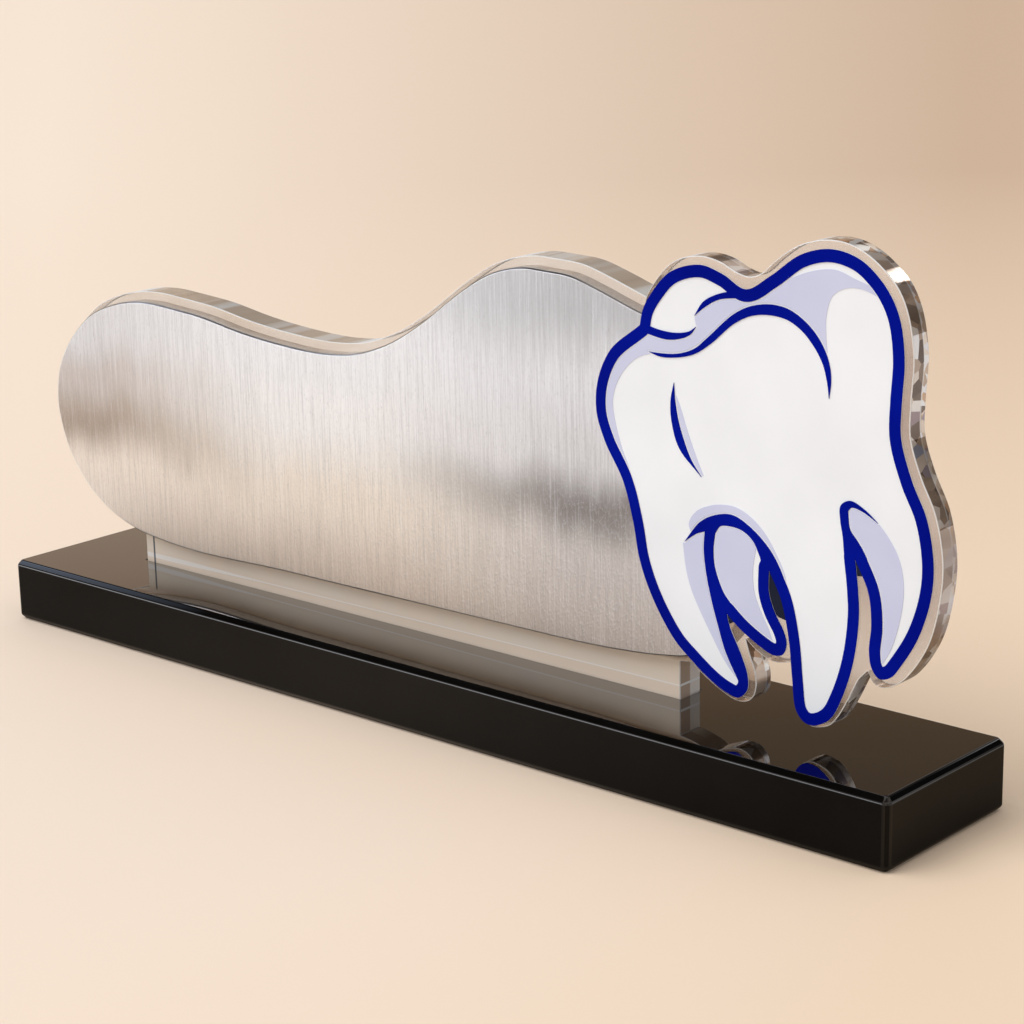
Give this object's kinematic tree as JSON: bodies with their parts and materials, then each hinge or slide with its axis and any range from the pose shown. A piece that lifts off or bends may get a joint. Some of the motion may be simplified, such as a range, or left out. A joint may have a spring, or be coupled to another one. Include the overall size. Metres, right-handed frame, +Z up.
{
  "type": "desk nameplate",
  "caption": "Desk nameplate: a cloud-shaped brushed steel plate on a clear acrylic panel in a black base, with a molar tooth figure at the right end.",
  "frame": {"origin": "middle of the base's underside, on the surface that the nameplate stands on", "axes": "+X along the base to the end with the tooth, -Y towards the reader, +Z up"},
  "size_m": [0.3086, 0.05, 0.136],
  "materials": {
    "black_acrylic": "mirror polished",
    "clear_acrylic": "clear, polished edges",
    "brushed_steel": "fine vertical brush",
    "bond_adhesive": "matt",
    "white_film": "satin gloss",
    "lavender_film": "satin gloss",
    "blue_film": "gloss",
    "charcoal_film": "satin"
  },
  "bodies": {
    "root": {"base_block": "black_acrylic", "clear_panel": "clear_acrylic", "plate_bond_film": "bond_adhesive", "steel_plate": "brushed_steel", "tooth_bond_film": "bond_adhesive", "tooth_block": "clear_acrylic", "tooth_white_face": "white_film", "tooth_outline": "blue_film", "ridge_line": "blue_film", "crescent_line": "blue_film", "crown_shade": "lavender_film", "arch_halo_shade": "lavender_film", "left_root_shade": "lavender_film", "back_root_shade": "lavender_film", "right_root_shade": "lavender_film", "crescent_shade": "lavender_film", "left_gap_fill": "charcoal_film", "middle_gap_fill": "charcoal_film", "right_gap_fill": "charcoal_film"}
  },
  "joints": []
}
